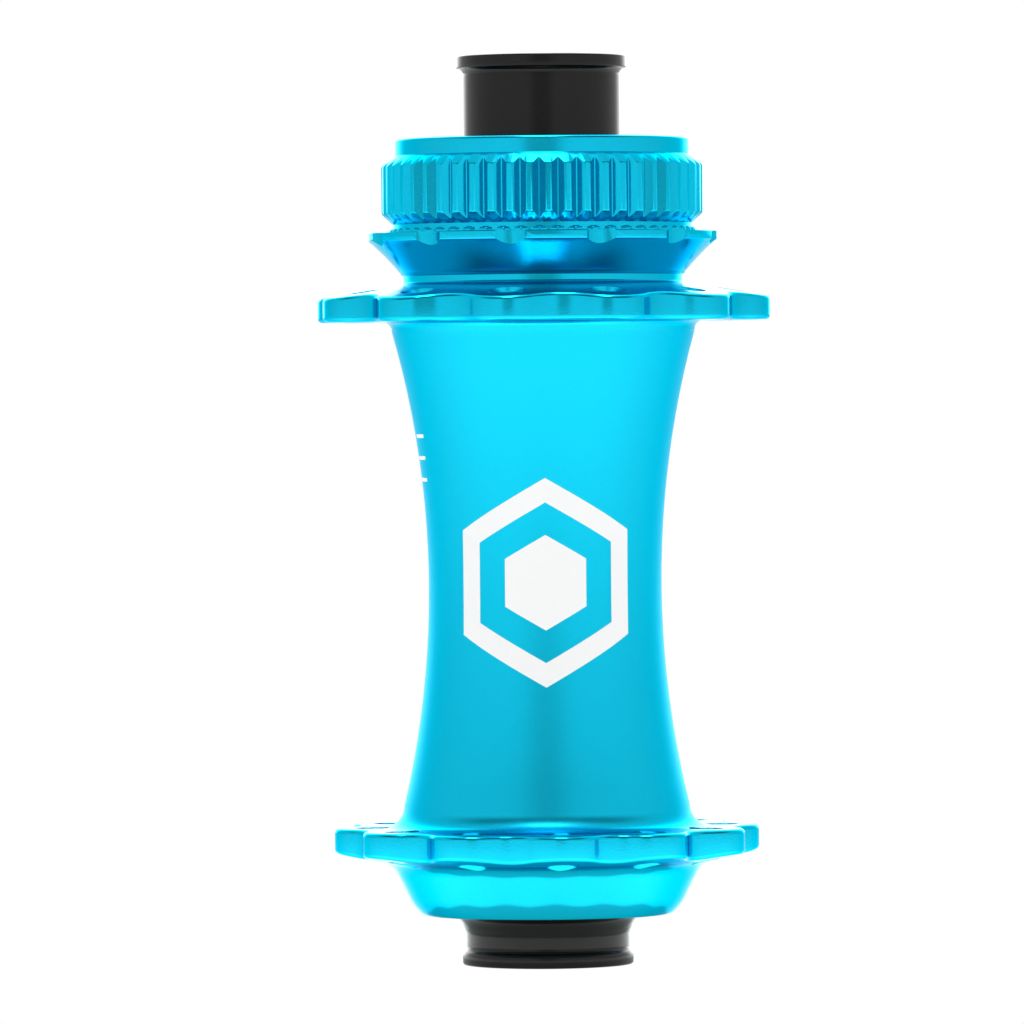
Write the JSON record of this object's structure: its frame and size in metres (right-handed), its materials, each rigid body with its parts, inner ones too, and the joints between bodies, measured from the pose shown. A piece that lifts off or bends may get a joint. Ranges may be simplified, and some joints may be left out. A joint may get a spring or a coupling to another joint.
{
  "type": "bicycle front hub",
  "caption": "Front disc-brake hub for a thru-axle: lobed spoke flanges, waisted barrel, splined rotor mount and push-in end caps.",
  "frame": {"origin": "on the hub's axis, halfway between the outer faces of the two end caps", "axes": "+Z along the axis towards the rotor side; X and Y across it"},
  "size_m": [0.0498, 0.0498, 0.1],
  "materials": {
    "anodised_blue": "bead-blasted and anodised turquoise blue, satin on the barrel and glossier on machined edges",
    "anodised_black": "turned and anodised black, semi-gloss",
    "machined_aluminium": "turned, bare",
    "bearing_steel": "ground and polished",
    "seal_rubber": "moulded, matte black",
    "cage_plastic": "moulded nylon, natural"
  },
  "bodies": {
    "plain_cap": {"end_cap_plain_side": "anodised_black", "o_ring_plain_side": "seal_rubber"},
    "axle_set": {"axle": "machined_aluminium", "inner_race_rotor_side": "bearing_steel", "inner_race_plain_side": "bearing_steel"},
    "rotor_cap": {"end_cap_rotor_side": "anodised_black", "o_ring_rotor_side": "seal_rubber"},
    "hub_body": {"hub_shell": "anodised_blue", "outer_race_rotor_side": "bearing_steel", "outer_race_plain_side": "bearing_steel", "seal_rotor_side_outer": "seal_rubber", "seal_rotor_side_inner": "seal_rubber", "seal_plain_side_outer": "seal_rubber", "seal_plain_side_inner": "seal_rubber"},
    "rotor_side_cage": {"ball_cage_rotor_side": "cage_plastic", "ball_rotor_side_01": "bearing_steel", "ball_rotor_side_02": "bearing_steel", "ball_rotor_side_03": "bearing_steel", "ball_rotor_side_04": "bearing_steel", "ball_rotor_side_05": "bearing_steel", "ball_rotor_side_06": "bearing_steel", "ball_rotor_side_07": "bearing_steel", "ball_rotor_side_08": "bearing_steel", "ball_rotor_side_09": "bearing_steel", "ball_rotor_side_10": "bearing_steel", "ball_rotor_side_11": "bearing_steel", "ball_rotor_side_12": "bearing_steel", "ball_rotor_side_13": "bearing_steel", "ball_rotor_side_14": "bearing_steel"},
    "plain_side_cage": {"ball_cage_plain_side": "cage_plastic", "ball_plain_side_01": "bearing_steel", "ball_plain_side_02": "bearing_steel", "ball_plain_side_03": "bearing_steel", "ball_plain_side_04": "bearing_steel", "ball_plain_side_05": "bearing_steel", "ball_plain_side_06": "bearing_steel", "ball_plain_side_07": "bearing_steel", "ball_plain_side_08": "bearing_steel", "ball_plain_side_09": "bearing_steel", "ball_plain_side_10": "bearing_steel", "ball_plain_side_11": "bearing_steel", "ball_plain_side_12": "bearing_steel", "ball_plain_side_13": "bearing_steel", "ball_plain_side_14": "bearing_steel"}
  },
  "joints": [
    {"name": "plain_cap_pull", "type": "slide", "parent": "plain_cap", "child": "axle_set", "axis": [0, 0, 1], "range_m": [0, 0.012]},
    {"name": "rotor_cap_pull", "type": "slide", "parent": "axle_set", "child": "rotor_cap", "axis": [0, 0, 1], "range_m": [0, 0.012]},
    {"name": "hub_spin", "type": "hinge", "parent": "axle_set", "child": "hub_body", "pos_m": [0, 0, 0], "axis": [0, 0, 1], "continuous": true},
    {"name": "rotor_side_cage_spin", "type": "hinge", "parent": "axle_set", "child": "rotor_side_cage", "pos_m": [0, 0, 0.0309], "axis": [0, 0, 1], "continuous": true},
    {"name": "plain_side_cage_spin", "type": "hinge", "parent": "axle_set", "child": "plain_side_cage", "pos_m": [0, 0, -0.0414], "axis": [0, 0, 1], "continuous": true}
  ],
  "couplings": [
    {"joint": "rotor_side_cage_spin", "follows": "hub_spin", "ratio": 0.55535},
    {"joint": "plain_side_cage_spin", "follows": "hub_spin", "ratio": 0.55535}
  ]
}
